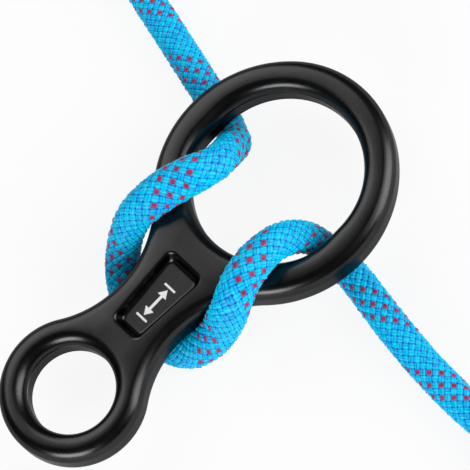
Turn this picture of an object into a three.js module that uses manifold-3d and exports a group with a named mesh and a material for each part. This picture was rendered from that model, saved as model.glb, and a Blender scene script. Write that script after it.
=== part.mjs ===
// A figure eight descender with a short length of climbing rope rigged through it.
// Millimetres, +Z up. The origin is the middle of the forging: +Y runs along it from the small
// eye to the big ring, +X runs across it, and +Z is square to its two flat faces.

import {
  BufferAttribute,
  BufferGeometry,
  CatmullRomCurve3,
  Curve,
  ExtrudeGeometry,
  Group,
  LatheGeometry,
  Matrix4,
  Mesh,
  MeshStandardMaterial,
  Path,
  Shape,
  Vector2,
  Vector3,
} from 'three';
import { mergeVertices } from 'three/addons/utils/BufferGeometryUtils.js';
import Module from 'manifold-3d';

const wasm = await Module();
wasm.setup();

// Driving dimensions of the forging
const overallLength = 150;
const bodyThickness = 14;
const eyeRadius = 13.8;
const eyeOuterRadius = 22.6;
const ringFarRadius = 34.2;
const ringShoulderRadius = 40.4;
const ringShoulderStart = 51 * Math.PI / 180;
const neckHalfWidth = 12.2;

// The big hole: a half circle, short straight sides, round corners and a flatter foot. Its half
// width leaves the ring's wall at the sides, and the shares are of that half width.
const ringWall = 10.7;
const holeBehindRing = 2;
const holeSideLength = 6;
const holeCornerShare = 0.775;
const holeFootShare = 1.047;

// The rounding that every edge of the forging has, flatter across than it is tall. It takes at
// most this share of a wall from either side.
const edgeRun = 3.6;
const edgeDrop = 4.6;
const edgeLimitShare = 0.45;

// The drafted pocket in the neck, the same on both faces. It starts and ends at these shares of
// the neck's length from the small eye to the big hole.
const pocketDepth = 3.2;
const pocketDraft = 1.6;
const pocketLand = 3.3;
const pocketFlare = 1.8;
const pocketCornerRadius = 2.4;
const pocketStartShare = 0.211;
const pocketEndShare = 0.76;
const cutOverrun = 1;

// Driving dimensions of the rope and its two end sleeves
const ropeDiameter = 10.2;
const sheathWall = 1.2;
const anchorStrandLength = 62;
const brakeStrandLength = 78;
const sleeveLength = 14;
const sleeveWall = 0.6;
const sleeveEdge = 0.2;
const sleeveSetback = 0.5;
const contactGap = 0.3;
const sameSpot = 0.03;

// Counts
const outlineSteps = 26;
const edgeSteps = 4;
const pocketCornerSteps = 5;
const sheathSides = 12;
const coreSides = 8;
const wrapSteps = 60;
const anchorSteps = 6;
const brakeSteps = 7;
const sleeveSides = 20;
const halvings = 60;
const routeDivisions = 1200;
const stretchDivisions = 400;

// The rope's route, chosen by hand: it comes in under the big ring, up through the hole, over
// the left arm, under the neck, over the right arm, down through the hole and out underneath
const routePoints = [
  [-99, 57.7, -11.6],
  [-75.5, 52, -12.3],
  [-55, 46.9, -12.4],
  [-43, 43.9, -12.4],
  [-30.8, 40.9, -12.5],
  [-26, 39.6, -11.9],
  [-22.5, 38.3, -9.3],
  [-20.5, 36.6, -5.1],
  [-19.4, 34.3, 0.2],
  [-17.9, 31.2, 5.7],
  [-16.4, 27, 10.2],
  [-16.4, 21.8, 12.9],
  [-18, 16.2, 13.3],
  [-19.8, 10.4, 13],
  [-21.2, 5, 12],
  [-22.9, -0.4, 8.2],
  [-23.5, -5.2, 2.4],
  [-22.6, -10, -3.6],
  [-19.9, -14.6, -8.6],
  [-15.4, -18.4, -11.7],
  [-8.5, -20.9, -12.6],
  [0, -21.8, -12.5],
  [7.8, -21.1, -12.6],
  [13.8, -18.2, -11],
  [18, -13.5, -6.4],
  [20.7, -8.2, -0.2],
  [21.7, -2.8, 7.1],
  [20.5, 2.6, 12],
  [18.4, 8.6, 13.7],
  [17.1, 15.2, 13.1],
  [17, 21.2, 10.3],
  [17.9, 26, 5.2],
  [19, 29.1, -0.3],
  [20.4, 30.8, -5.4],
  [23, 31.5, -9.7],
  [27, 31.8, -12.1],
  [32, 31.5, -12.5],
  [43.2, 30.1, -12.4],
  [72, 26.4, -12.3],
  [112, 24.8, -11.6],
];

const ropeRadius = ropeDiameter / 2;
const eyeCentreY = eyeOuterRadius - overallLength / 2;
const ringCentreY = overallLength / 2 - ringFarRadius;
const holeCentreY = ringCentreY - holeBehindRing;
const holeRadius = ringShoulderRadius + shoulderCentre().x - ringWall;
const roundingRun = Math.min(edgeRun, edgeLimitShare * thinnestWall());

const anodisedBlack = new MeshStandardMaterial({ color: 0x17181a, roughness: 0.38, metalness: 0.85 });
const blueSheath = new MeshStandardMaterial({ color: 0x12a0e0, roughness: 0.8, metalness: 0 });
const whiteCore = new MeshStandardMaterial({ color: 0xe9e6dd, roughness: 0.9, metalness: 0 });
const sleeveBlack = new MeshStandardMaterial({ color: 0x1a1a1c, roughness: 0.5, metalness: 0 });

// Solids are joined and cut as manifold solids, made from a closed mesh of merged vertices
function toSolid(geometry) {
  const bare = geometry.clone();
  bare.deleteAttribute('normal');
  bare.deleteAttribute('uv');
  const merged = mergeVertices(bare);
  return new wasm.Manifold(new wasm.Mesh({
    numProp: 3,
    vertProperties: new Float32Array(merged.attributes.position.array),
    triVerts: new Uint32Array(merged.index.array),
  }));
}

function toGeometry(solid) {
  const mesh = solid.getMesh();
  const geometry = new BufferGeometry();
  geometry.setAttribute('position', new BufferAttribute(new Float32Array(mesh.vertProperties), 3));
  geometry.setIndex(new BufferAttribute(new Uint32Array(mesh.triVerts), 1));
  geometry.computeVertexNormals();
  return geometry;
}

// Where the ring's far arc passes into its wider shoulder arc
function shoulderCentre() {
  const reach = ringFarRadius - ringShoulderRadius;
  return new Vector2(
    reach * Math.cos(ringShoulderStart),
    ringCentreY + reach * Math.sin(ringShoulderStart),
  );
}

// The neck's hollow arc touches the small eye's circle and the shoulder arc, and is as deep as
// the neck's half width asks. Its radius comes from halving an interval.
function neckArc() {
  const shoulder = shoulderCentre();
  const span = shoulder.y - eyeCentreY;
  const offAxis = (radius) => {
    const fromEye = (eyeOuterRadius - neckHalfWidth) * (eyeOuterRadius + neckHalfWidth + 2 * radius);
    const below = ringShoulderRadius - neckHalfWidth + shoulder.x;
    const above = ringShoulderRadius + neckHalfWidth - shoulder.x + 2 * radius;
    return { up: Math.sqrt(fromEye), down: Math.sqrt(below * above) };
  };
  let low = 0;
  let high = overallLength;
  for (let i = 0; i < halvings; i += 1) {
    const middle = (low + high) / 2;
    const { up, down } = offAxis(middle);
    if (up + down < span) low = middle;
    else high = middle;
  }
  const radius = (low + high) / 2;
  const centre = new Vector2(neckHalfWidth + radius, eyeCentreY + offAxis(radius).up);
  return { radius, centre, shoulder };
}

function arcPoints(centre, radius, from, to, steps) {
  const points = [];
  for (let i = 0; i <= steps; i += 1) {
    const angle = from + (to - from) * i / steps;
    points.push(new Vector2(
      centre.x + radius * Math.cos(angle),
      centre.y + radius * Math.sin(angle),
    ));
  }
  return points;
}

function directionFrom(a, b) {
  return Math.atan2(b.y - a.y, b.x - a.x);
}

// Joins the arcs of the right half, from the far end down, and mirrors them into a closed
// outline that runs counter-clockwise
function closedOutline(arcs) {
  const half = [];
  for (const arc of arcs) {
    for (const point of arc) {
      const last = half[half.length - 1];
      if (!last || last.distanceTo(point) > sameSpot) half.push(point);
    }
  }
  const mirrored = half.slice(1, -1).map((point) => new Vector2(-point.x, point.y));
  return [...mirrored, ...half.reverse()];
}

function outerOutline() {
  const { radius, centre, shoulder } = neckArc();
  const ring = new Vector2(0, ringCentreY);
  const eye = new Vector2(0, eyeCentreY);
  const neckTop = directionFrom(shoulder, centre);
  const neckBottom = directionFrom(eye, centre);
  return closedOutline([
    arcPoints(ring, ringFarRadius, Math.PI / 2, ringShoulderStart, outlineSteps / 2),
    arcPoints(shoulder, ringShoulderRadius, ringShoulderStart, neckTop, outlineSteps),
    arcPoints(centre, radius, neckTop + Math.PI, neckBottom + Math.PI, outlineSteps / 2),
    arcPoints(eye, eyeOuterRadius, neckBottom, -Math.PI / 2, outlineSteps),
  ]);
}

function holeOutline() {
  const holeCornerRadius = holeCornerShare * holeRadius;
  const holeFootRadius = holeFootShare * holeRadius;
  const corner = new Vector2(holeRadius - holeCornerRadius, holeCentreY - holeSideLength);
  const reach = holeFootRadius - holeCornerRadius;
  const foot = new Vector2(0, corner.y + Math.sqrt(reach * reach - corner.x * corner.x));
  const turn = directionFrom(foot, corner);
  return closedOutline([
    arcPoints(new Vector2(0, holeCentreY), holeRadius, Math.PI / 2, 0, outlineSteps),
    arcPoints(corner, holeCornerRadius, 0, turn, outlineSteps / 2),
    arcPoints(foot, holeFootRadius, turn, -Math.PI / 2, outlineSteps / 2),
  ]);
}

function holeFootY() {
  return Math.min(...holeOutline().map((point) => point.y));
}

function eyeOutline() {
  return arcPoints(new Vector2(0, eyeCentreY), eyeRadius, 0, 2 * Math.PI, 2 * outlineSteps).slice(1);
}

// The least width of metal between a hole and the outside
function thinnestWall() {
  const outside = outerOutline();
  const walls = [...holeOutline(), ...eyeOutline()].map(
    (point) => Math.min(...outside.map((other) => other.distanceTo(point))),
  );
  return Math.min(...walls);
}

// A polygon whose corners are rounded by arcs of one radius
function roundedPolygon(corners, radius, steps) {
  const points = [];
  corners.forEach((corner, i) => {
    const before = corners[(i + corners.length - 1) % corners.length];
    const after = corners[(i + 1) % corners.length];
    const back = before.clone().sub(corner).normalize();
    const ahead = after.clone().sub(corner).normalize();
    const halfAngle = Math.acos(back.dot(ahead)) / 2;
    const bisector = back.clone().add(ahead).normalize();
    const centre = corner.clone().add(bisector.multiplyScalar(radius / Math.sin(halfAngle)));
    const run = radius / Math.tan(halfAngle);
    const start = directionFrom(centre, corner.clone().add(back.multiplyScalar(run)));
    const end = directionFrom(centre, corner.clone().add(ahead.multiplyScalar(run)));
    const turn = Math.atan2(Math.sin(end - start), Math.cos(end - start));
    points.push(...arcPoints(centre, radius, start, start + turn, steps));
  });
  return points;
}

// The pocket widens towards the big ring. Its cutter narrows by the draft down to the floor.
function pocketCutter() {
  const narrowHalf = neckHalfWidth - roundingRun - pocketLand;
  const wideHalf = narrowHalf + pocketFlare;
  const neckStart = eyeCentreY + eyeRadius;
  const neckLength = holeFootY() - neckStart;
  const nearEnd = neckStart + pocketStartShare * neckLength;
  const farEnd = neckStart + pocketEndShare * neckLength;
  const rim = roundedPolygon([
    new Vector2(-narrowHalf, nearEnd),
    new Vector2(narrowHalf, nearEnd),
    new Vector2(wideHalf, farEnd),
    new Vector2(-wideHalf, farEnd),
  ], pocketCornerRadius, pocketCornerSteps);
  const geometry = new ExtrudeGeometry(new Shape(rim), {
    depth: cutOverrun,
    steps: 1,
    bevelThickness: pocketDepth,
    bevelSize: pocketDraft,
    bevelOffset: -pocketDraft,
    bevelSegments: 1,
  });
  return toSolid(geometry);
}

function descenderBody() {
  const outline = new Shape(outerOutline());
  outline.holes.push(new Path(holeOutline()), new Path(eyeOutline()));
  const geometry = new ExtrudeGeometry(outline, {
    depth: bodyThickness - 2 * edgeDrop,
    steps: 1,
    bevelThickness: edgeDrop,
    bevelSize: roundingRun,
    bevelOffset: -roundingRun,
    bevelSegments: edgeSteps,
  });
  geometry.translate(0, 0, edgeDrop - bodyThickness / 2);
  const cutter = pocketCutter().translate([0, 0, bodyThickness / 2]);
  const lowCutter = cutter.rotate([0, 180, 0]);
  return toGeometry(toSolid(geometry).subtract(cutter).subtract(lowCutter));
}

// A stretch of the rope's route between two distances from its start, whose sections stay
// upright, so that a flat of the faceted rope always faces the ground
class RouteStretch extends Curve {
  constructor(route, from, to) {
    super();
    this.route = route;
    this.from = from;
    this.to = to;
  }

  getPoint(t, target = new Vector3()) {
    const length = this.route.getLength();
    return this.route.getPointAt((this.from + (this.to - this.from) * t) / length, target);
  }

  getTangent(t, target = new Vector3()) {
    const length = this.route.getLength();
    return this.route.getTangentAt((this.from + (this.to - this.from) * t) / length, target);
  }

  computeFrenetFrames(segments) {
    const tangents = [];
    const normals = [];
    const binormals = [];
    const up = new Vector3(0, 0, 1);
    for (let i = 0; i <= segments; i += 1) {
      const tangent = this.getTangentAt(i / segments);
      const normal = up.clone().addScaledVector(tangent, -up.dot(tangent)).normalize();
      tangents.push(tangent);
      normals.push(normal);
      binormals.push(new Vector3().crossVectors(tangent, normal));
    }
    return { tangents, normals, binormals };
  }
}

const ropeRoute = new CatmullRomCurve3(
  routePoints.map((point) => new Vector3(...point)),
  false,
  'centripetal',
);
ropeRoute.arcLengthDivisions = routeDivisions;
const ropeLength = ropeRoute.getLength();

function ropeStretch(from, to) {
  const stretch = new RouteStretch(ropeRoute, from, to);
  stretch.arcLengthDivisions = stretchDivisions;
  return stretch;
}

function sectionPoints(radius, sides) {
  const half = Math.PI / sides;
  return arcPoints(new Vector2(0, 0), radius, half, 2 * Math.PI + half, sides).slice(1);
}

// The woven sheath is a tube, and the core inside it is a plain round bundle
function sheathGeometry(stretch, steps) {
  const section = new Shape(sectionPoints(ropeRadius, sheathSides));
  section.holes.push(new Path(sectionPoints(ropeRadius - sheathWall, sheathSides)));
  return new ExtrudeGeometry(section, { extrudePath: stretch, steps, bevelEnabled: false });
}

function coreGeometry(stretch, steps) {
  const bore = (ropeRadius - sheathWall) * Math.cos(Math.PI / sheathSides);
  const section = new Shape(sectionPoints(bore - contactGap, coreSides));
  return new ExtrudeGeometry(section, { extrudePath: stretch, steps, bevelEnabled: false });
}

// A short shrunk sleeve round the cut end of the rope
function sleeveGeometry() {
  const inner = ropeRadius + contactGap;
  const outer = inner + sleeveWall;
  const profile = [
    new Vector2(inner, 0),
    new Vector2(outer - sleeveEdge, 0),
    new Vector2(outer, sleeveEdge),
    new Vector2(outer, sleeveLength - sleeveEdge),
    new Vector2(outer - sleeveEdge, sleeveLength),
    new Vector2(inner, sleeveLength),
    new Vector2(inner, 0),
  ];
  return new LatheGeometry(profile, sleeveSides);
}

function placeSleeve(mesh, distance, inward) {
  const share = distance / ropeLength;
  const along = ropeRoute.getTangentAt(share).multiplyScalar(inward);
  const side = new Vector3().crossVectors(along, new Vector3(0, 0, 1)).normalize();
  const across = new Vector3().crossVectors(side, along);
  mesh.applyMatrix4(new Matrix4().makeBasis(side, along, across));
  mesh.position.copy(ropeRoute.getPointAt(share).addScaledVector(along, -sleeveSetback));
}

const figureEight = new Group();

function addPiece(name, geometry, material) {
  const mesh = new Mesh(geometry, material);
  mesh.name = name;
  figureEight.add(mesh);
  return mesh;
}

addPiece('descender_body', descenderBody(), anodisedBlack);

const stretches = [
  { name: 'rope_anchor_strand', from: 0, to: anchorStrandLength, steps: anchorSteps },
  {
    name: 'rope_wrap',
    from: anchorStrandLength + contactGap,
    to: ropeLength - brakeStrandLength - contactGap,
    steps: wrapSteps,
  },
  { name: 'rope_brake_strand', from: ropeLength - brakeStrandLength, to: ropeLength, steps: brakeSteps },
];
for (const { name, from, to, steps } of stretches) {
  const stretch = ropeStretch(from, to);
  addPiece(`${name}_sheath`, sheathGeometry(stretch, steps), blueSheath);
  addPiece(`${name}_core`, coreGeometry(stretch, steps), whiteCore);
}

placeSleeve(addPiece('rope_anchor_end_sleeve', sleeveGeometry(), sleeveBlack), 0, 1);
placeSleeve(addPiece('rope_brake_end_sleeve', sleeveGeometry(), sleeveBlack), ropeLength, -1);

export default figureEight;
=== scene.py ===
"""A figure eight descender with a short rope rigged through it, lying on a white studio floor."""

import math

import bmesh
import bpy
import numpy as np
from mathutils import Matrix, Vector
from mathutils.kdtree import KDTree


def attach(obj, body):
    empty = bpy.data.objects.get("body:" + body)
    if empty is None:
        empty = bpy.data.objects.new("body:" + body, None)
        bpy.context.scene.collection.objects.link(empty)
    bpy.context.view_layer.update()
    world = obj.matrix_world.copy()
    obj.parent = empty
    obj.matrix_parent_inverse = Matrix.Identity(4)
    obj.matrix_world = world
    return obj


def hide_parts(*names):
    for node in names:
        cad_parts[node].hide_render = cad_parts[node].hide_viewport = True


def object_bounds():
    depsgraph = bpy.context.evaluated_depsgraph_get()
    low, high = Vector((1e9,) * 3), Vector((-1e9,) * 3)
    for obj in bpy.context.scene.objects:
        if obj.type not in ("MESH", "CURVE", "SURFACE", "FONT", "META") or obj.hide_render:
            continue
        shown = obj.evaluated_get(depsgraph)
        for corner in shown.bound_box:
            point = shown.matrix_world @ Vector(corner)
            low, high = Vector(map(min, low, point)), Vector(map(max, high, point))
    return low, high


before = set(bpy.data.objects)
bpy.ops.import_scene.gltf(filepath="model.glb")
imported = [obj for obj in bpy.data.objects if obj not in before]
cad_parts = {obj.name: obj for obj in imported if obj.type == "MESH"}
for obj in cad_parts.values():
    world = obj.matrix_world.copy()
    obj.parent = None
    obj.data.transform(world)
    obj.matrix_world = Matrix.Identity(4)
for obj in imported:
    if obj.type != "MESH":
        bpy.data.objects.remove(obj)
cad_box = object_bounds()
scene = bpy.context.scene
MM = 0.001

# The forging, in metres, with the names that part.mjs gives its sizes
OVERALL_LENGTH = 150 * MM
BODY_THICKNESS = 14 * MM
EYE_RADIUS = 13.8 * MM
EYE_OUTER_RADIUS = 22.6 * MM
RING_FAR_RADIUS = 34.2 * MM
RING_SHOULDER_RADIUS = 40.4 * MM
RING_SHOULDER_START = math.radians(51)
NECK_HALF_WIDTH = 12.2 * MM
RING_WALL = 10.7 * MM
HOLE_BEHIND_RING = 2 * MM
HOLE_SIDE_LENGTH = 6 * MM
HOLE_CORNER_SHARE = 0.775
HOLE_FOOT_SHARE = 1.047
EDGE_RUN = 3.6 * MM
EDGE_DROP = 4.6 * MM
POCKET_DEPTH = 3.2 * MM
POCKET_DRAFT = 1.6 * MM
POCKET_LAND = 3.3 * MM
POCKET_FLARE = 1.8 * MM
POCKET_CORNER_RADIUS = 2.4 * MM
POCKET_START_SHARE = 0.211
POCKET_END_SHARE = 0.76

# The finer shape that only this model has. The edges are crowned, and in the two holes a crease
# lies where the crown meets the wall
CROWN_RUN = 4.35 * MM
CROWN_POWER = 2.4
DROP_POWER = 2.1
# Where the crown starts and how far round it goes, in degrees
CROWN_START = 5
CROWN_SWEEP = 85
CREASED_SWEEP = 72
CREASE_DEPTH = 0.16 * MM
CREASE_WIDTH = 0.34 * MM

# How finely the forging is drawn, and from which angle an edge looks sharp
OUTLINE_STEP = 0.8 * MM
HOLE_SIDE_STEPS = 6
POCKET_CORNER_STEPS = 10
EDGE_STEPS = 16
HALVINGS = 60
SHARP_ANGLE = math.radians(30)

# The pocket's raised lip, each ring given as how far outside the rim and how high
LIP_WIDTH = 0.5 * MM
LIP_HEIGHT = 0.06 * MM
FLAT_MARGIN = 0.25 * MM
POCKET_LIP = [
    (LIP_WIDTH + FLAT_MARGIN, 0), (LIP_WIDTH, 0), (LIP_WIDTH * 0.85, LIP_HEIGHT),
    (LIP_WIDTH * 0.65, LIP_HEIGHT * 0.9),
]
# How far the pocket's end walls lean in, and the radius of its floor's corners
END_DRAFT = 2.6 * MM
FLOOR_CORNER_RADIUS = 1.2 * MM
# How far each ring of the pocket's wall lies from the rim to the floor's edge, and how deep, both
# as shares. The last ring lies on the floor and keeps it flat
POCKET_WALL = [
    (0.06, 0.07), (0.16, 0.16), (0.32, 0.4), (0.5, 0.66), (0.7, 0.86), (0.86, 0.96), (1.0, 1.0),
    (1.2, 1.0),
]
# How much further towards the big ring the photograph shows the pocket's end
POCKET_REACH = 0.9 * MM

# The rope
ROPE_DIAMETER = 10.2 * MM
ANCHOR_STRAND_LENGTH = 62 * MM
BRAKE_STRAND_LENGTH = 78 * MM
ROUTE_MM = [
    (-99, 57.7, -11.6),
    (-75.5, 52, -12.3),
    (-55, 46.9, -12.4),
    (-43, 43.9, -12.4),
    (-30.8, 40.9, -12.5),
    (-26, 39.6, -11.9),
    (-22.5, 38.3, -9.3),
    (-20.5, 36.6, -5.1),
    (-19.4, 34.3, 0.2),
    (-17.9, 31.2, 5.7),
    (-16.4, 27, 10.2),
    (-16.4, 21.8, 12.9),
    (-18, 16.2, 13.3),
    (-19.8, 10.4, 13),
    (-21.2, 5, 12),
    (-22.9, -0.4, 8.2),
    (-23.5, -5.2, 2.4),
    (-22.6, -10, -3.6),
    (-19.9, -14.6, -8.6),
    (-15.4, -18.4, -11.7),
    (-8.5, -20.9, -12.6),
    (0, -21.8, -12.5),
    (7.8, -21.1, -12.6),
    (13.8, -18.2, -11),
    (18, -13.5, -6.4),
    (20.7, -8.2, -0.2),
    (21.7, -2.8, 7.1),
    (20.5, 2.6, 12),
    (18.4, 8.6, 13.7),
    (17.1, 15.2, 13.1),
    (17, 21.2, 10.3),
    (17.9, 26, 5.2),
    (19, 29.1, -0.3),
    (20.4, 30.8, -5.4),
    (23, 31.5, -9.7),
    (27, 31.8, -12.1),
    (32, 31.5, -12.5),
    (43.2, 30.1, -12.4),
    (72, 26.4, -12.3),
    (112, 24.8, -11.6),
]
ROUTE_SAMPLES = 60

# The sheath's braid: 24 yarns wind each way, in pairs that pass over one pair and under the next
YARNS = 24
YARN_CELLS = 3
WEAVE_RELIEF = 0.8 * MM
TRACER_PAIRS = (6, 8, 10)
# The yarns' free stretches are numbered in these steps, so that neighbours differ, and come in
# this many kinds, whose heights differ by this share
FLOAT_STEPS = (31, 17, 8)
FLOAT_KINDS = 97
WEAVE_UNEVEN = 0.1
WEAVE_SEED = 5
# How deep the braid falls as a share of its relief, and by which power: between the two yarns of
# a pair, at the pair's edges, at the ends of a free stretch, and where four squares meet
YARN_FALL = (0.32, 3)
PAIR_FALL = (0.45, 2.2)
STRETCH_FALL = (0.4, 2.6)
CORNER_FALL = (0.15, 3)
# The turns that a yarn has wound round the rope by each distance in mm: closer where the rope is
# pushed together
LAY = [
    (0, -0.314), (62, 1.9085), (123, 3.746), (161, 4.884), (200, 6.052), (240, 7.252),
    (270, 8.1425), (302, 9.093), (362, 10.9),
]
# The turns that the rope itself has twisted by each distance in mm
TWIST = [
    (0, 0.156), (62, 0.156), (110, 0.33), (161, 0.33), (209, 0.7), (241, 0.69), (266, 0.79),
    (302, 0.71), (362, 0.71),
]

# How far the yarns' map moves on from one free stretch to the next, across and along
MAP_STEP_ACROSS = 2
MAP_STEP_ALONG = 3
# A yarn's look: the plies across it, and the hairs, which the noise draws long along it
PLIES = 4.0
HAIR_STRETCH = (9, 1.2, 1)
HAIR_SCALE = 2.2
# How much the plies, the hairs and chance add to a yarn's tone
PLY_TONE = 0.25
HAIR_TONE = 0.7
CHANCE_TONE = 0.32
# Painted shade: how the tone darkens in the braid's grooves, by power and weight: at a yarn's
# edges, at its pair's edges, at the ends of a free stretch, and where four squares meet
GROOVE_SHADE_DIPS = [(3.0, 0.4), (5.0, 0.15), (5.0, 0.15), (3.0, 0.6)]
PLY_RELIEF = 0.6
HAIR_RELIEF = 0.4
# Where its neighbours' colour starts to cover a tracer yarn, and how ragged that line is
RIM_START = 0.84
RIM_RAGGED = 0.2

# How far the rope bulges to the left and right of its way where the forging presses it flat. Each
# row gives the distance and the two bulges in mm
BULGE = [
    (14, 0, 0), (28, 0.45, 0.2), (70, 0.4, 0.2), (79, -0.9, 0.1), (90, 1.7, -0.7), (99, 2.0, -1.8),
    (105, 1.9, -0.8), (112, 1.7, 1.1), (126, 1.3, 1.0), (135, 1.0, 0.2), (150, 0.7, 0.1),
    (182, 0.5, 1.4), (200, 1.2, 0.6), (215, 2.6, -0.2), (228, 2.2, -0.1), (237, 1.1, 1.0),
    (245, 0.5, 0.5), (255, 1.0, -0.3), (268, 0.4, -0.9), (285, 0.9, -0.5), (302, 0.4, 0.4),
    (334, 0.5, 0.5), (348, 0, 0),
]
# The bulges are averaged over this far each way
BULGE_BLEND = 4 * MM
BULGE_SAMPLES = 9
# The side that the rope is pressed flat from: from above, as the forging leans
BULGE_UP = (0.34, -0.05, 0.94)
ROPE_GAP = 0.04 * MM
# How far apart the points lie that are taken along a strand's way
CORD_STEP = 1 * MM

# The sleeves' finer shape: how far along each ring lies and how far out, in mm
SLEEVE_PROFILE = [
    (-0.45, 4.35),
    (-0.5, 4.7),
    (-0.3, 5.1),
    (0.3, 5.5),
    (1.2, 5.68),
    (2.6, 5.66),
    (4.2, 5.72),
    (6.0, 5.67),
    (8.0, 5.73),
    (10.0, 5.66),
    (11.6, 5.7),
    (12.6, 5.68),
    (13.1, 5.82),
    (13.4, 5.86),
    (13.5, 5.7),
    (13.4, 5.45),
    (13.0, 5.2),
    (12.0, 5.12),
]
# The ripple of the sleeves and of the melted ends in them: how high, how many waves go round, and
# how fast they lean along the rope, in radians per metre
TURNED_SIDES = 60
RIPPLE = 0.05 * MM
RIPPLE_WAVES = 12
RIPPLE_RATE = 2600
# The rope's melted end: a low dome inside the sleeve
FUSED_DOME = 0.5 * MM
FUSED_INSET = 0.1 * MM
FUSED_TIP_RADIUS = 0.01 * MM
FUSED_STEPS = 6

# The core's bundle: one strand in the middle and six round it
CORE_STRAND_RADIUS = 1.12 * MM
CORE_RING_RADIUS = 2.22 * MM
CORE_OUTER_STRANDS = 6
CORE_LAY_LENGTH = 26 * MM
CORE_STEP = 1.5 * MM
CORE_SIDES = 10
CORE_END_SHARE = 0.35

# The camera, fitted to the outlines of the forging and its two holes in the photograph
CAMERA_TARGET = Vector((0, 0.1 * MM, 0))
CAMERA_DISTANCE = 1.2006
CAMERA_TURNS = (math.radians(3.136), math.radians(19.906), math.radians(42.871))
CAMERA_LENS = 303.0
SENSOR = 36
AIM_RIGHT = 12.38 * MM
AIM_UP = 9.9 * MM

# The mark in the pocket, in mm: an arrow with two heads along the line of load, between two bars
MARK_CENTRE = (0.3, -15.8)
MARK_SHAPES = [
    [
        (0, 5.2), (1.7, 2.6), (0.45, 2.6), (0.45, -2.6), (1.7, -2.6),
        (0, -5.2), (-1.7, -2.6), (-0.45, -2.6), (-0.45, 2.6), (-1.7, 2.6),
    ],
    [(-2.2, 5.8), (-2.2, 6.5), (2.2, 6.5), (2.2, 5.8)],
    [(-2.2, -6.5), (-2.2, -5.8), (2.2, -5.8), (2.2, -6.5)],
]
MARK_HEIGHT = 0.06 * MM

# The set. A share of what the camera sees of the floor is plain white, and a smaller one of what
# shiny surfaces mirror of it. The rest shows the lamps' light and the shadows
FLOOR_REACH = 3.0
FLOOR_GLOW = 0.89
FLOOR_MIRROR_GLOW = 0.4
WORLD_GLOW = 0.05
# Each lamp's direction as shares of the camera's right, up and back, its distance, its width and
# length in metres, and its power in watts
LAMPS = {
    "overhead": ((-0.58, 0.71, 0.4), 1.2, (1.1, 1.1), 8.2),
    "right_side": ((0.8, 0.27, 0.48), 1.4, (1.0, 1.2), 17),
    "right_fill": ((0.4, 0.42, 0.81), 1.2, (0.5, 0.5), 2),
    "near_side": ((-0.25, -0.74, 0.52), 1.0, (0.6, 0.5), 8),
}


def place_camera():
    """Stands the camera over the part's middle and aims it beside it, as the picture is framed."""
    turn = Matrix.Identity(4)
    for angle, axis in zip(CAMERA_TURNS, "XYZ"):
        turn = turn @ Matrix.Rotation(angle, 4, axis)
    aim_side = Matrix.Rotation(-math.atan(AIM_RIGHT / CAMERA_DISTANCE), 4, "Y")
    aim_up = Matrix.Rotation(math.atan(AIM_UP / CAMERA_DISTANCE), 4, "X")
    data = bpy.data.cameras.new("camera")
    data.lens = CAMERA_LENS
    data.sensor_width = SENSOR
    camera = bpy.data.objects.new("camera", data)
    scene.collection.objects.link(camera)
    stand = CAMERA_TARGET + turn.to_3x3() @ Vector((0, 0, CAMERA_DISTANCE))
    camera.matrix_world = Matrix.Translation(stand) @ turn @ aim_side @ aim_up
    scene.camera = camera


class Route:
    """The rope's centreline, with a frame that doesn't spin about it."""

    def __init__(self, points):
        self.points = self.curve(np.array(points, float) * MM)
        steps = np.linalg.norm(np.diff(self.points, axis=0), axis=1)
        self.along = np.concatenate([[0], np.cumsum(steps)])
        self.length = self.along[-1]
        tangents = np.gradient(self.points, self.along, axis=0)
        self.tangents = tangents / np.linalg.norm(tangents, axis=1)[:, None]
        self.normals = self.carried_normals()

    @staticmethod
    def curve(points):
        """The centripetal curve through the points that part.mjs also draws."""
        first = 2 * points[0] - points[1]
        last = 2 * points[-1] - points[-2]
        knots = np.vstack([first, points, last])
        share = np.linspace(0, 1, ROUTE_SAMPLES, endpoint=False)[:, None]
        pieces = []
        for a, b, c, d in zip(knots, knots[1:], knots[2:], knots[3:]):
            gap_a, gap_b, gap_c = (
                math.sqrt(np.linalg.norm(q - p)) for p, q in ((a, b), (b, c), (c, d))
            )
            start = (b - a) / gap_a - (c - a) / (gap_a + gap_b) + (c - b) / gap_b
            end = (c - b) / gap_b - (d - b) / (gap_b + gap_c) + (d - c) / gap_c
            start = start * gap_b
            end = end * gap_b
            square = 3 * (c - b) - 2 * start - end
            cube = 2 * (b - c) + start + end
            pieces.append(b + start * share + square * share**2 + cube * share**3)
        return np.vstack([*pieces, points[-1:]])

    def carried_normals(self):
        normal = np.cross(np.cross(self.tangents[0], (0, 0, 1)), self.tangents[0])
        normals = [normal / np.linalg.norm(normal)]
        for tangent in self.tangents[1:]:
            normal = normals[-1] - tangent * np.dot(tangent, normals[-1])
            normals.append(normal / np.linalg.norm(normal))
        return np.array(normals)

    def at(self, distances):
        """Points, tangents, normals and binormals at some distances from the anchor end."""
        points, tangents, normals = (
            np.stack([np.interp(distances, self.along, column) for column in values.T], axis=1)
            for values in (self.points, self.tangents, self.normals)
        )
        tangents /= np.linalg.norm(tangents, axis=1)[:, None]
        normals -= tangents * np.sum(tangents * normals, axis=1)[:, None]
        normals /= np.linalg.norm(normals, axis=1)[:, None]
        return points, tangents, normals, np.cross(tangents, normals)

    def path(self, start, end, step):
        count = math.ceil((end - start) / step) + 1
        return self.at(np.linspace(start, end, count))[0]


def new_object(name, vertices, faces, materials):
    mesh = bpy.data.meshes.new(name)
    mesh.from_pydata(vertices, [], faces)
    for material in materials:
        mesh.materials.append(material)
    mesh.polygons.foreach_set("use_smooth", [True] * len(mesh.polygons))
    obj = bpy.data.objects.new(name, mesh)
    scene.collection.objects.link(obj)
    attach(obj, "root")
    return obj


# Materials


def new_material(name):
    material = bpy.data.materials.new(name)
    material.use_nodes = True
    tree = material.node_tree
    return material, tree, tree.nodes["Principled BSDF"]


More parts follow.
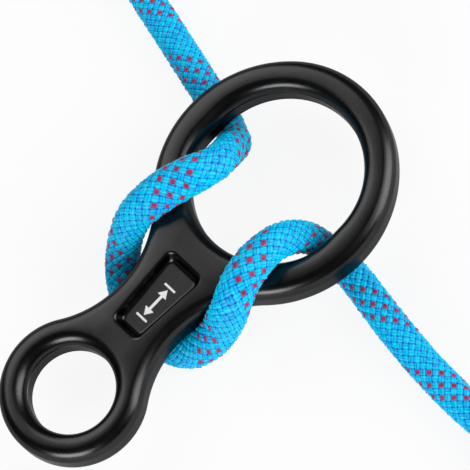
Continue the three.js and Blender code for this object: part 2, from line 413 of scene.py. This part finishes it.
def add_node(tree, kind, settings=None, **values):
    """Adds a node, sets its settings and its sockets, and links the sockets given as outputs. A
    socket is named by its name, or by i and its number."""
    node = tree.nodes.new(kind)
    for key, value in (settings or {}).items():
        setattr(node, key, value)
    for key, value in values.items():
        numbered = key[0] == "i" and key[1:].isdigit()
        socket = node.inputs[int(key[1:]) if numbered else key.replace("_", " ")]
        if isinstance(value, bpy.types.NodeSocket):
            tree.links.new(value, socket)
        else:
            socket.default_value = value
    return node


def math_node(tree, operation, first, second=0.0):
    node = add_node(tree, "ShaderNodeMath", {"operation": operation}, i0=first, i1=second)
    return node.outputs[0]


def ramp(tree, share, stops):
    """A colour ramp with (place, colour) stops."""
    node = add_node(tree, "ShaderNodeValToRGB", Fac=share)
    elements = node.color_ramp.elements
    while len(elements) < len(stops):
        elements.new(0.5)
    for element, (place, colour) in zip(elements, stops):
        element.position = place
        element.color = (*colour, 1)
    return node.outputs["Color"]


def noise(tree, scale, detail, place=None):
    """A noise over some places, or else over the object's own coordinates."""
    if place is None:
        place = add_node(tree, "ShaderNodeTexCoord").outputs["Object"]
    node = add_node(tree, "ShaderNodeTexNoise", Vector=place, Scale=scale, Detail=detail)
    return node.outputs["Fac"]


def dress(tree, shader, colour, roughness, height=None, strength=0.0, distance=0.0):
    """Gives a shader its colour, its roughness as a number or as (share, lowest, highest), and a
    bump from a height."""
    tree.links.new(colour, shader.inputs["Base Color"])
    if isinstance(roughness, tuple):
        share, lowest, highest = roughness
        spread = add_node(tree, "ShaderNodeMapRange", Value=share, To_Min=lowest, To_Max=highest)
        tree.links.new(spread.outputs["Result"], shader.inputs["Roughness"])
    else:
        shader.inputs["Roughness"].default_value = roughness
    if height is not None:
        bump = add_node(tree, "ShaderNodeBump", Height=height, Strength=strength, Distance=distance)
        tree.links.new(bump.outputs["Normal"], shader.inputs["Normal"])


def anodised_black():
    """Satin black: forged, tumbled and hard anodised aluminium. The tint takes the edge off what
    it mirrors at a low angle."""
    material, tree, shader = new_material("anodised_black")
    broad = noise(tree, scale=90, detail=3)
    fine = noise(tree, scale=3200, detail=4)
    colour = ramp(tree, broad, [(0.3, (0.038, 0.038, 0.039)), (0.7, (0.046, 0.046, 0.047))])
    grain = math_node(tree, "ADD", math_node(tree, "MULTIPLY", fine, 0.7), broad)
    roughness = broad, 0.24, 0.3
    dress(tree, shader, colour, roughness, height=grain, strength=0.12, distance=0.0002)
    shader.inputs["Metallic"].default_value = 1
    shader.inputs["Specular Tint"].default_value = (0.57, 0.57, 0.57, 1)
    return material


def yarn(name, shade, light, rim=None):
    """A flat bundle of fine filaments, with shade painted darker into its grooves. The map runs
    across a pair of yarns and then along them. A tracer yarn has a rim, the colour of the
    neighbours that cover its edges."""
    material, tree, shader = new_material(name)
    place = add_node(tree, "ShaderNodeUVMap", {"uv_map": "yarn"}).outputs["UV"]
    split = add_node(tree, "ShaderNodeSeparateXYZ", Vector=place)
    across, along = split.outputs["X"], split.outputs["Y"]
    yarn_edge = from_middle(tree, across)
    pair_edge = from_middle(tree, math_node(tree, "MULTIPLY", across, 0.5))
    stretch_edge = from_middle(tree, along)
    corner = math_node(tree, "MULTIPLY", pair_edge, stretch_edge)
    lean = math_node(tree, "ADD", math_node(tree, "MULTIPLY", across, PLIES), along)
    wave = math_node(tree, "SINE", math_node(tree, "MULTIPLY", lean, math.pi))
    plies = math_node(tree, "ABSOLUTE", wave)
    drawn_long = add_node(tree, "ShaderNodeMapping", Vector=place, Scale=HAIR_STRETCH)
    hairs = noise(tree, HAIR_SCALE, detail=2, place=drawn_long.outputs["Vector"])
    tone = blend(tree, plies, PLY_TONE, hairs, HAIR_TONE)
    # Painted shade: the tone is darkened where the grooves lie, at the edges of yarns, pairs and
    # free stretches and where four squares meet
    edges = yarn_edge, pair_edge, stretch_edge, corner
    for edge, (power, weight) in zip(edges, GROOVE_SHADE_DIPS):
        painted_shade = math_node(tree, "MULTIPLY", math_node(tree, "POWER", edge, power), weight)
        tone = math_node(tree, "SUBTRACT", tone, painted_shade)
    number = math_node(tree, "FLOOR", math_node(tree, "MULTIPLY", along, 1 / MAP_STEP_ALONG))
    chance = add_node(tree, "ShaderNodeTexWhiteNoise", {"noise_dimensions": "1D"}, W=number)
    chance_share = math_node(tree, "MULTIPLY", chance.outputs["Value"], CHANCE_TONE)
    tone = math_node(tree, "ADD", tone, chance_share)
    middle = [(s + l) / 2 for s, l in zip(shade, light)]
    colour = ramp(tree, tone, [(0.1, shade), (0.38, middle), (0.66, light)])
    if rim:
        outer = math_node(tree, "MAXIMUM", pair_edge, stretch_edge)
        ragged = math_node(tree, "ADD", outer, math_node(tree, "MULTIPLY", hairs, RIM_RAGGED))
        covered = math_node(tree, "GREATER_THAN", ragged, RIM_START)
        settings = {"data_type": "RGBA"}
        mix = add_node(tree, "ShaderNodeMix", settings, i0=covered, i6=colour, i7=(*rim, 1))
        colour = mix.outputs[2]
    height = blend(tree, plies, PLY_RELIEF, hairs, HAIR_RELIEF)
    dress(tree, shader, colour, roughness=0.25, height=height, strength=0.5, distance=0.00015)
    tangent = add_node(tree, "ShaderNodeTangent", {"direction_type": "UV_MAP", "uv_map": "yarn"})
    tree.links.new(tangent.outputs["Tangent"], shader.inputs["Tangent"])
    shader.inputs["Anisotropic"].default_value = 0.75
    shader.inputs["Specular IOR Level"].default_value = 0.24
    return material


def from_middle(tree, axis):
    """How far a place is from the middle of its yarn on one axis of the map, from 0 to 1."""
    doubled = math_node(tree, "MULTIPLY", math_node(tree, "FRACT", axis), 2.0)
    return math_node(tree, "ABSOLUTE", math_node(tree, "SUBTRACT", doubled, 1.0))


def blend(tree, first, first_weight, second, second_weight):
    """The weighed sum of two shares."""
    weighed = math_node(tree, "MULTIPLY", first, first_weight)
    return math_node(tree, "ADD", weighed, math_node(tree, "MULTIPLY", second, second_weight))


def core_white():
    material, tree, shader = new_material("core_white")
    fibres = noise(tree, scale=2600, detail=3)
    colour = ramp(tree, fibres, [(0.3, (0.62, 0.61, 0.57)), (0.7, (0.84, 0.83, 0.79))])
    dress(tree, shader, colour, roughness=0.8, height=fibres, strength=0.4, distance=0.0002)
    return material


def sleeve_black():
    material, tree, shader = new_material("sleeve_black")
    cloud = noise(tree, scale=420, detail=3)
    colour = ramp(tree, cloud, [(0.3, (0.010, 0.010, 0.011)), (0.7, (0.020, 0.020, 0.022))])
    roughness = cloud, 0.38, 0.55
    dress(tree, shader, colour, roughness, height=cloud, strength=0.2, distance=0.0003)
    return material


def fused_yarn():
    """The rope's end, melted with a hot knife: glossy, lumpy and dark."""
    material, tree, shader = new_material("fused_yarn")
    lumps = noise(tree, scale=900, detail=3)
    colour = ramp(tree, lumps, [(0.3, (0.004, 0.05, 0.12)), (0.7, (0.01, 0.16, 0.32))])
    dress(tree, shader, colour, roughness=0.25, height=lumps, strength=0.6, distance=0.0004)
    return material


def mark_white():
    """White ink, worn thin in places."""
    material, tree, shader = new_material("mark_white")
    wear = noise(tree, scale=1800, detail=4)
    colour = ramp(tree, wear, [(0.25, (0.66, 0.66, 0.66)), (0.45, (0.95, 0.95, 0.95))])
    dress(tree, shader, colour, roughness=0.55)
    return material


# The rope


def along_table(table, values, inverse=False):
    """Reads a table of distances in mm and turns, or the other way round."""
    distances, turns = (np.array(column, float) for column in zip(*table))
    if inverse:
        return np.interp(values, turns, distances * MM)
    return np.interp(values, distances * MM, turns)


def weave_height(across, along, side):
    """How proud the braid stands: two rounded yarns side by side, lower at their edges and lowest
    where four squares meet."""
    pair = np.abs(across + side - 1)
    stretch = np.abs(2 * along - 1)
    groove = fall(np.abs(2 * across - 1), YARN_FALL) * (1 - pair**4)
    corners = fall(pair * stretch, CORNER_FALL)
    return 1 - groove - fall(pair, PAIR_FALL) - fall(stretch, STRETCH_FALL) - corners


def fall(share, depth_and_power):
    """How far the braid has fallen at some share of the way from a middle to an edge."""
    depth, power = depth_and_power
    return depth * share**power


def weave_at(a, b, cell_a, cell_b):
    """For places on the braid's grid: whether the first yarn is on top, how far across its
    width and along its free stretch the place is, which side of its pair the yarn lies on, and a
    number for that stretch."""
    share_a = (a - cell_a * YARN_CELLS) / YARN_CELLS
    share_b = (b - cell_b * YARN_CELLS) / YARN_CELLS
    first = (cell_a // 2 + cell_b // 2) % 2 == 0
    across = np.where(first, share_a, share_b)
    along = np.where(first, share_b + cell_b % 2, share_a + cell_a % 2) / 2
    side = np.where(first, cell_a % 2, cell_b % 2)
    step_a, step_b, shift = FLOAT_STEPS
    number = np.where(
        first, step_a * cell_a + step_b * (cell_b // 2),
        step_a * (cell_a // 2) + step_b * cell_b + shift,
    )
    return first, across, along, side, number % FLOAT_KINDS


def braided_sheath(name, route, start, end, materials):
    """The part of the braid between two distances. Its grid follows the yarns both ways, so that
    neighbouring parts meet without a seam."""
    around = YARNS * YARN_CELLS
    first_ring, last_ring = (round(2 * around * along_table(LAY, d)) for d in (start, end))
    rings = np.arange(first_ring - 1, last_ring + 2)
    k, b = np.meshgrid(rings, np.arange(around), indexing="ij")
    a = b + k
    cell_a, cell_b = a // YARN_CELLS, b // YARN_CELLS
    _, across, along, side, number = weave_at(a, b, cell_a, cell_b)
    uneven = 1 + np.random.default_rng(WEAVE_SEED).normal(0, WEAVE_UNEVEN, FLOAT_KINDS)
    height = weave_height(across, along, side) * uneven[number]
    radius = ROPE_DIAMETER / 2 - WEAVE_RELIEF * (1 - height)
    distances = along_table(LAY, rings / (2 * around), inverse=True)
    points, tangents, normals, binormals = route.at(distances)
    turns = (2 * b + k) / (2 * around) - along_table(TWIST, distances)[:, None]
    angle = (2 * np.pi * turns)[..., None]
    spread = np.cos(angle) * normals[:, None] + np.sin(angle) * binormals[:, None]
    vertices = points[:, None] + bulged(radius[..., None] * spread, distances, tangents)
    quad_k, quad_b = np.meshgrid(np.arange(first_ring, last_ring), np.arange(around), indexing="ij")
    row, after = (quad_k - rings[0]) * around, (quad_b + 1) % around
    corners = [row - around + after, row + after, row + around + quad_b, row + quad_b]
    faces = np.stack(corners, axis=-1).reshape(-1, 4)
    vertices = vertices.reshape(-1, 3)
    keep_off_forging(vertices)
    obj = new_object(name, vertices, faces.tolist(), materials)
    paint_yarns(obj, (quad_b + quad_k).ravel(), quad_b.ravel())
    return obj


def bulged(offsets, distances, tangents):
    """The places round the centreline, pushed out sideways and down from above where the rope is
    flattened."""
    where, left, right = (np.array(column, float) * MM for column in zip(*BULGE))
    near = np.linspace(-BULGE_BLEND, BULGE_BLEND, BULGE_SAMPLES)
    left, right = (
        np.mean([np.interp(distances + d, where, side) for d in near], axis=0)[:, None]
        for side in (left, right)
    )
    sideways = np.cross(BULGE_UP, tangents)
    sideways /= np.linalg.norm(sideways, axis=1)[:, None]
    above = np.cross(tangents, sideways)
    side_share = np.sum(offsets * sideways[:, None], axis=2) * 2 / ROPE_DIAMETER
    top_share = np.maximum(np.sum(offsets * above[:, None], axis=2), 0) * 2 / ROPE_DIAMETER
    across = left * np.maximum(side_share, 0) + right * np.minimum(side_share, 0)
    drop = (left + right) / 2 * top_share
    return offsets + across[..., None] * sideways[:, None] - drop[..., None] * above[:, None]


def keep_off_forging(vertices):
    """Moves the flattened rope's places inside the forging out of it, the shorter way."""
    outline = np.vstack([outer_outline(), hole_outline(), eye_outline()])
    tree = KDTree(len(outline))
    for k, row in enumerate(outline):
        tree.insert((row[0], row[1], 0), k)
    tree.balance()
    wall_top = BODY_THICKNESS / 2 - EDGE_DROP
    for vertex in vertices:
        height = abs(vertex[2])
        if height > BODY_THICKNESS / 2:
            continue
        _, k, _ = tree.find((vertex[0], vertex[1], 0))
        depth = np.dot(outline[k, :2] - vertex[:2], outline[k, 2:]) + ROPE_GAP
        if depth <= 0:
            continue
        share = min(depth / CROWN_RUN, 1)
        skin = wall_top + EDGE_DROP * (1 - (1 - share) ** CROWN_POWER) ** (1 / DROP_POWER)
        rise = max(height - wall_top, 0) / EDGE_DROP
        inset = CROWN_RUN * (1 - (1 - rise**DROP_POWER) ** (1 / CROWN_POWER))
        if height >= skin:
            continue
        if skin - height < depth - inset:
            vertex[2] = math.copysign(skin, vertex[2])
        else:
            vertex[:2] += (depth - inset) * outline[k, 2:]


def paint_yarns(obj, a, b):
    """Gives each face its place on its yarn, and the tracer yarns their own material."""
    cell_a, cell_b = a // YARN_CELLS, b // YARN_CELLS
    step_a, step_b = np.array((0, 1, 1, 0)), np.array((1, 1, 0, 0))
    corner_a, corner_b = a[:, None] + step_a, b[:, None] + step_b
    first, across, along, side, number = weave_at(
        corner_a, corner_b, cell_a[:, None], cell_b[:, None]
    )
    layer = obj.data.uv_layers.new(name="yarn")
    map_x = across + side + MAP_STEP_ACROSS * number
    map_y = along + MAP_STEP_ALONG * number
    layer.data.foreach_set("uv", np.stack([map_x, map_y], axis=-1).reshape(-1))
    tracer = first[:, 0] & np.isin(cell_a // 2 % (YARNS // 2), TRACER_PAIRS)
    obj.data.polygons.foreach_set("material_index", tracer.astype(np.int32))


def core_bundle(name, route, start, end, material):
    """Twisted core strands, drawn as separate round bundles with domed ends."""
    count = math.ceil((end - start) / CORE_STEP) + 1
    distances = np.linspace(start, end, count)
    points, tangents, normals, binormals = route.at(distances)
    corners = np.arange(CORE_SIDES) * 2 * np.pi / CORE_SIDES
    size = np.full((count, 1), CORE_STRAND_RADIUS)
    size[[0, -1]] *= CORE_END_SHARE
    vertices, faces = [], []
    for strand in range(CORE_OUTER_STRANDS + 1):
        reach = 0 if strand == 0 else CORE_RING_RADIUS
        turn = 2 * np.pi * (strand / CORE_OUTER_STRANDS + distances[:, None] / CORE_LAY_LENGTH)
        across = reach * np.cos(turn) + size * np.cos(corners)
        up = reach * np.sin(turn) + size * np.sin(corners)
        offsets = across[..., None] * normals[:, None] + up[..., None] * binormals[:, None]
        vertices.append((points[:, None] + bulged(offsets, distances, tangents)).reshape(-1, 3))
        base = strand * count * CORE_SIDES
        for k in range(count - 1):
            low, high = base + k * CORE_SIDES, base + (k + 1) * CORE_SIDES
            for c in range(CORE_SIDES):
                n = (c + 1) % CORE_SIDES
                faces.append((low + c, low + n, high + n, high + c))
        faces.append([base + c for c in reversed(range(CORE_SIDES))])
        faces.append([base + (count - 1) * CORE_SIDES + c for c in range(CORE_SIDES)])
    return new_object(name, np.vstack(vertices), faces, [material])


def turned_piece(name, centre, axis, rings, material, capped=False):
    """A rippled skin of rings about an axis, each given as (how far along, how far out). A capped
    one is closed at its last ring."""
    sides = TURNED_SIDES
    normal = np.cross(axis, (0, 0, 1))
    normal /= np.linalg.norm(normal)
    binormal = np.cross(axis, normal)
    angles = 2 * np.pi * np.arange(sides) / sides
    vertices = []
    for along, out in rings:
        for angle in angles:
            turn, lean = RIPPLE_WAVES * angle, RIPPLE_RATE * along
            reach = out + RIPPLE * (math.sin(turn + lean) * math.sin(turn - lean))
            ray = math.cos(angle) * normal + math.sin(angle) * binormal
            vertices.append(centre + axis * along + reach * ray)
    faces = []
    for k in range(len(rings) - 1):
        for c in range(sides):
            n = (c + 1) % sides
            faces.append((k * sides + c, (k + 1) * sides + c, (k + 1) * sides + n, k * sides + n))
    if capped:
        faces.append([(len(rings) - 1) * sides + c for c in reversed(range(sides))])
    return new_object(name, [tuple(v) for v in vertices], faces, [material])


def rope_end(name, route, distance, inward, core_node, fused, black):
    """The melted end of the rope and the shrunk sleeve round it."""
    points, tangents, _, _ = route.at(np.array([distance]))
    axis = tangents[0] * inward
    profile = [(along * MM, out * MM) for along, out in SLEEVE_PROFILE]
    sleeve = turned_piece(f"{name}_shrunk", points[0], axis, profile, black)
    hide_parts(name)
    radius = ROPE_DIAMETER / 2 - FUSED_INSET
    rings = []
    for k in range(FUSED_STEPS + 1):
        turn = math.pi / 2 * k / FUSED_STEPS
        out = radius * math.cos(turn) + FUSED_TIP_RADIUS
        rings.append((FUSED_DOME - 2 * FUSED_DOME * math.sin(turn), out))
    melted = turned_piece(f"{name}_melted", points[0], axis, rings, fused, capped=True)
    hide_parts(core_node)
    return sleeve, melted


def build_rope():
    route = Route(ROUTE_MM)
    blue = yarn("yarn_blue", (0.0, 0.06, 0.64), (0.0, 0.7, 1.0))
    red = yarn("yarn_red", (0.14, 0.01, 0.05), (0.42, 0.045, 0.13), rim=(0.02, 0.28, 0.55))
    white = core_white()
    brake_start = route.length - BRAKE_STRAND_LENGTH
    parts = {
        "rope_anchor_strand": (0, ANCHOR_STRAND_LENGTH),
        "rope_wrap": (ANCHOR_STRAND_LENGTH, brake_start),
        "rope_brake_strand": (brake_start, route.length),
    }
    made = {}
    for name, (start, end) in parts.items():
        sheath = braided_sheath(f"{name}_braid", route, start, end, [blue, red])
        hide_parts(f"{name}_sheath")
        core = core_bundle(f"{name}_strands", route, start, end, white)
        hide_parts(f"{name}_core")
        made[name] = sheath, core
    fused, black = fused_yarn(), sleeve_black()
    ends = {
        "rope_anchor_strand": ("rope_anchor_end_sleeve", ANCHOR_STRAND_LENGTH, 0, 1),
        "rope_brake_strand": ("rope_brake_end_sleeve", brake_start, route.length, -1),
    }
    for name, (sleeve_name, leaves, far, inward) in ends.items():
        sheath, core = made[name]
        end_pieces = rope_end(sleeve_name, route, far, inward, f"{name}_core", fused, black)
        start, end = sorted((leaves, far))
        tuple(route.at(np.array([leaves]))[0][0])
        [tuple(p) for p in route.path(start, end, CORD_STEP)]


# The forging


def arc(centre, radius, start, end, outward):
    """Points of an arc with the direction that leaves the metal, as rows of x, y and direction."""
    count = max(2, round(abs(end - start) * radius / OUTLINE_STEP))
    angles = np.linspace(start, end, count + 1)
    ray = np.stack([np.cos(angles), np.sin(angles)], axis=1)
    return np.hstack([np.array(centre) + radius * ray, outward * ray])


def mirrored(arcs):
    """Joins arcs from the far end down the right side, and mirrors them into a closed loop."""
    half = np.vstack([arcs[0]] + [a[1:] for a in arcs[1:]])
    other = half[-2:0:-1] * (-1, 1, -1, 1)
    return np.vstack([half, other])


def direction(a, b):
    return math.atan2(b[1] - a[1], b[0] - a[0])


eye_centre = np.array((0, EYE_OUTER_RADIUS - OVERALL_LENGTH / 2))
ring_centre = np.array((0, OVERALL_LENGTH / 2 - RING_FAR_RADIUS))
shoulder_reach = RING_FAR_RADIUS - RING_SHOULDER_RADIUS
shoulder_way = np.array((math.cos(RING_SHOULDER_START), math.sin(RING_SHOULDER_START)))
shoulder_centre = ring_centre + shoulder_reach * shoulder_way
hole_radius = RING_SHOULDER_RADIUS + shoulder_centre[0] - RING_WALL
hole_centre = ring_centre - (0, HOLE_BEHIND_RING)


def neck_arc():
    """The neck's hollow arc, whose radius comes from halving an interval, as in part.mjs."""
    span = shoulder_centre[1] - eye_centre[1]
    low, high = 0, OVERALL_LENGTH
    for _ in range(HALVINGS):
        radius = (low + high) / 2
        up = math.sqrt((EYE_OUTER_RADIUS + radius) ** 2 - (NECK_HALF_WIDTH + radius) ** 2)
        side = NECK_HALF_WIDTH + radius - shoulder_centre[0]
        down = math.sqrt((RING_SHOULDER_RADIUS + radius) ** 2 - side**2)
        if up + down < span:
            low = radius
        else:
            high = radius
    return radius, np.array((NECK_HALF_WIDTH + radius, eye_centre[1] + up))


def outer_outline():
    radius, centre = neck_arc()
    neck_top = direction(shoulder_centre, centre)
    neck_bottom = direction(eye_centre, centre)
    return mirrored([
        arc(ring_centre, RING_FAR_RADIUS, math.pi / 2, RING_SHOULDER_START, 1),
        arc(shoulder_centre, RING_SHOULDER_RADIUS, RING_SHOULDER_START, neck_top, 1),
        arc(centre, radius, neck_top + math.pi, neck_bottom + math.pi, -1),
        arc(eye_centre, EYE_OUTER_RADIUS, neck_bottom, -math.pi / 2, 1),
    ])


def hole_outline():
    corner_radius = HOLE_CORNER_SHARE * hole_radius
    foot_radius = HOLE_FOOT_SHARE * hole_radius
    corner = np.array((hole_radius - corner_radius, hole_centre[1] - HOLE_SIDE_LENGTH))
    foot = np.array((0, corner[1] + math.sqrt((foot_radius - corner_radius) ** 2 - corner[0] ** 2)))
    turn = direction(foot, corner)
    side = np.array([
        (hole_radius, hole_centre[1] - HOLE_SIDE_LENGTH * k / HOLE_SIDE_STEPS, -1, 0)
        for k in range(HOLE_SIDE_STEPS + 1)
    ])
    return mirrored([
        arc(hole_centre, hole_radius, math.pi / 2, 0, -1),
        side,
        arc(corner, corner_radius, 0, turn, -1),
        arc(foot, foot_radius, turn, -math.pi / 2, -1),
    ])


def eye_outline():
    return arc(eye_centre, EYE_RADIUS, 0, 2 * math.pi, -1)[1:]


def rounded_polygon(corners, radius):
    """A closed loop round some corners, with directions that point out of it."""
    rows = []
    for k, corner in enumerate(corners):
        back = corners[k - 1] - corner
        ahead = corners[(k + 1) % len(corners)] - corner
        back, ahead = back / np.linalg.norm(back), ahead / np.linalg.norm(ahead)
        half = math.acos(np.dot(back, ahead)) / 2
        bisector = (back + ahead) / np.linalg.norm(back + ahead)
        centre = corner + bisector * radius / math.sin(half)
        run = radius / math.tan(half)
        start = direction(centre, corner + back * run)
        end = direction(centre, corner + ahead * run)
        turn = math.atan2(math.sin(end - start), math.cos(end - start))
        angles = start + turn * np.linspace(0, 1, POCKET_CORNER_STEPS + 1)
        ray = np.stack([np.cos(angles), np.sin(angles)], axis=1)
        rows.append(np.hstack([centre + radius * ray, ray]))
    return np.vstack(rows)


def pocket_loop(side_inset, end_inset, radius):
    """The pocket's outline, drawn in from its rim at its long sides and its two ends."""
    narrow = NECK_HALF_WIDTH - EDGE_RUN - POCKET_LAND - side_inset
    wide = narrow + POCKET_FLARE
    neck_start = eye_centre[1] + EYE_RADIUS
    neck_length = hole_outline()[:, 1].min() - neck_start
    near = neck_start + POCKET_START_SHARE * neck_length + end_inset
    far = neck_start + POCKET_END_SHARE * neck_length + POCKET_REACH - end_inset
    corners = [np.array(p) for p in ((-narrow, near), (narrow, near), (wide, far), (-wide, far))]
    return rounded_polygon(corners, radius)


def edge_profile(creased):
    """How far in and how high each ring of a crowned edge lies, from the flat face to the wall.
    The forging die leaves a crease inside the two holes."""
    wall_top = BODY_THICKNESS / 2 - EDGE_DROP
    sweep = CREASED_SWEEP if creased else CROWN_SWEEP
    rings = []
    for k in range(EDGE_STEPS + 1):
        turn = math.radians(CROWN_START + sweep * k / EDGE_STEPS)
        inward = CROWN_RUN * (1 - math.sin(turn) ** (2 / CROWN_POWER))
        rings.append((inward, wall_top + EDGE_DROP * math.cos(turn) ** (2 / DROP_POWER)))
    if creased:
        rings.append((CREASE_DEPTH, wall_top + CREASE_WIDTH))
        rings.append((CREASE_DEPTH + CREASE_WIDTH / 3, wall_top + CREASE_WIDTH / 2))
        rings.append((0, wall_top))
    rings.append((0, wall_top - CREASE_WIDTH / 2))
    return rings


def pocket_loops(side):
    """The loops of a pocket from its raised lip down its drafted walls to its floor."""
    rim = pocket_loop(0, 0, POCKET_CORNER_RADIUS)
    foot = pocket_loop(POCKET_DRAFT, END_DRAFT, FLOOR_CORNER_RADIUS)
    top = BODY_THICKNESS / 2
    loops = []
    for outward, rise in POCKET_LIP:
        loops.append(at_height(rim[:, :2] + outward * rim[:, 2:], side * (top + rise)))
    for share, depth in POCKET_WALL:
        places = rim[:, :2] + share * (foot[:, :2] - rim[:, :2])
        loops.append(at_height(places, side * (top - depth * POCKET_DEPTH)))
    return loops


def at_height(places, height):
    """Some places in the plan, lifted to a height."""
    return np.hstack([places, np.full((len(places), 1), height)])


def add_loops(mesh, loops):
    """Adds a strip of faces through some closed loops, and returns its first and last loop."""
    rows = [[mesh.verts.new(place) for place in loop] for loop in loops]
    count = len(rows[0])
    for low, high in zip(rows, rows[1:]):
        for k in range(count):
            n = (k + 1) % count
            mesh.faces.new((low[k], low[n], high[n], high[k]))
    return rows[0], rows[-1]


def edge_loops(outline, rings):
    """The loops of a rounded edge, each ring given as (how far in, how high)."""
    return [at_height(outline[:, :2] - inward * outline[:, 2:], height) for inward, height in rings]


def loop_edges(mesh, loop):
    return [mesh.edges.get((loop[k - 1], loop[k])) for k in range(len(loop))]


def build_forging():
    mesh = bmesh.new()
    top_edges, low_edges = [], []
    outlines = (outer_outline(), False), (hole_outline(), True), (eye_outline(), True)
    for outline, creased in outlines:
        half = edge_profile(creased)
        whole = half + [(offset, -height) for offset, height in reversed(half)]
        top, low = add_loops(mesh, edge_loops(outline, whole))
        top_edges += loop_edges(mesh, top)
        low_edges += loop_edges(mesh, low)
    for edges, side in ((top_edges, 1), (low_edges, -1)):
        lip, floor = add_loops(mesh, pocket_loops(side))
        edges += loop_edges(mesh, lip)
        bmesh.ops.triangle_fill(mesh, use_beauty=True, edges=edges)
        mesh.faces.new(floor)
    bmesh.ops.recalc_face_normals(mesh, faces=mesh.faces)
    for face in mesh.faces:
        face.smooth = True
    for edge in mesh.edges:
        edge.smooth = edge.calc_face_angle(0) < SHARP_ANGLE
    data = bpy.data.meshes.new("descender_forging")
    mesh.to_mesh(data)
    mesh.free()
    data.materials.append(anodised_black())
    obj = bpy.data.objects.new("descender_forging", data)
    scene.collection.objects.link(obj)
    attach(obj, "root")
    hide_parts("descender_body")


def build_mark():
    """The mark, printed on the pocket's floor."""
    floor = BODY_THICKNESS / 2 - POCKET_DEPTH
    middle_x, middle_y = MARK_CENTRE
    vertices, faces = [], []
    for shape in MARK_SHAPES:
        base, count = len(vertices), len(shape)
        for height in (floor - MARK_HEIGHT, floor + MARK_HEIGHT):
            vertices += [((x + middle_x) * MM, (y + middle_y) * MM, height) for x, y in shape]
        faces.append([base + count + k for k in reversed(range(count))])
        faces.append([base + k for k in range(count)])
        for k in range(count):
            n = (k + 1) % count
            faces.append((base + k, base + count + k, base + count + n, base + n))
    mark = new_object("load_mark", vertices, faces, [mark_white()])
    mark.data.polygons.foreach_set("use_smooth", [False] * len(faces))


# The set


def soft_light(name, way, distance, size, power):
    data = bpy.data.lights.new(name, "AREA")
    data.shape = "RECTANGLE"
    data.size, data.size_y = size
    data.energy = power
    lamp = bpy.data.objects.new(name, data)
    scene.collection.objects.link(lamp)
    away = way.normalized()
    lamp.location = away * distance
    lamp.rotation_euler = away.to_track_quat("Z", "Y").to_euler()
    lamp.visible_camera = False


def build_floor():
    material, tree, shader = new_material("floor_white")
    cloud = noise(tree, scale=3, detail=2)
    colour = ramp(tree, cloud, [(0.3, (0.86, 0.86, 0.86)), (0.7, (0.88, 0.88, 0.88))])
    dress(tree, shader, colour, roughness=0.9)
    glow = add_node(tree, "ShaderNodeEmission", Color=(1, 1, 1, 1), Strength=1.0).outputs[0]
    path = add_node(tree, "ShaderNodeLightPath").outputs
    mirrored_ray = math_node(tree, "ADD", path["Is Glossy Ray"], path["Is Transmission Ray"])
    share = blend(tree, path["Is Camera Ray"], FLOOR_GLOW, mirrored_ray, FLOOR_MIRROR_GLOW)
    mixed = add_node(tree, "ShaderNodeMixShader", i0=share, i1=shader.outputs[0], i2=glow)
    tree.links.new(mixed.outputs[0], tree.nodes["Material Output"].inputs["Surface"])
    level = cad_box[0].z
    square = (-1, -1), (1, -1), (1, 1), (-1, 1)
    corners = [(x * FLOOR_REACH, y * FLOOR_REACH, level) for x, y in square]
    mesh = bpy.data.meshes.new("floor")
    mesh.from_pydata(corners, [], [(0, 1, 2, 3)])
    mesh.materials.append(material)
    floor = bpy.data.objects.new("floor", mesh)
    scene.collection.objects.link(floor)


def build_world():
    world = bpy.data.worlds.new("studio")
    scene.world = world
    world.use_nodes = True
    background = world.node_tree.nodes["Background"]
    background.inputs["Color"].default_value = (1, 1, 1, 1)
    background.inputs["Strength"].default_value = WORLD_GLOW


def build_lights():
    turn = scene.camera.matrix_world.to_3x3()
    for name, (way, distance, size, power) in LAMPS.items():
        soft_light(name, turn @ Vector(way), distance, size, power)


place_camera()
build_rope()
build_forging()
build_mark()
build_floor()
build_world()
build_lights()
scene.view_settings.view_transform = "Standard"
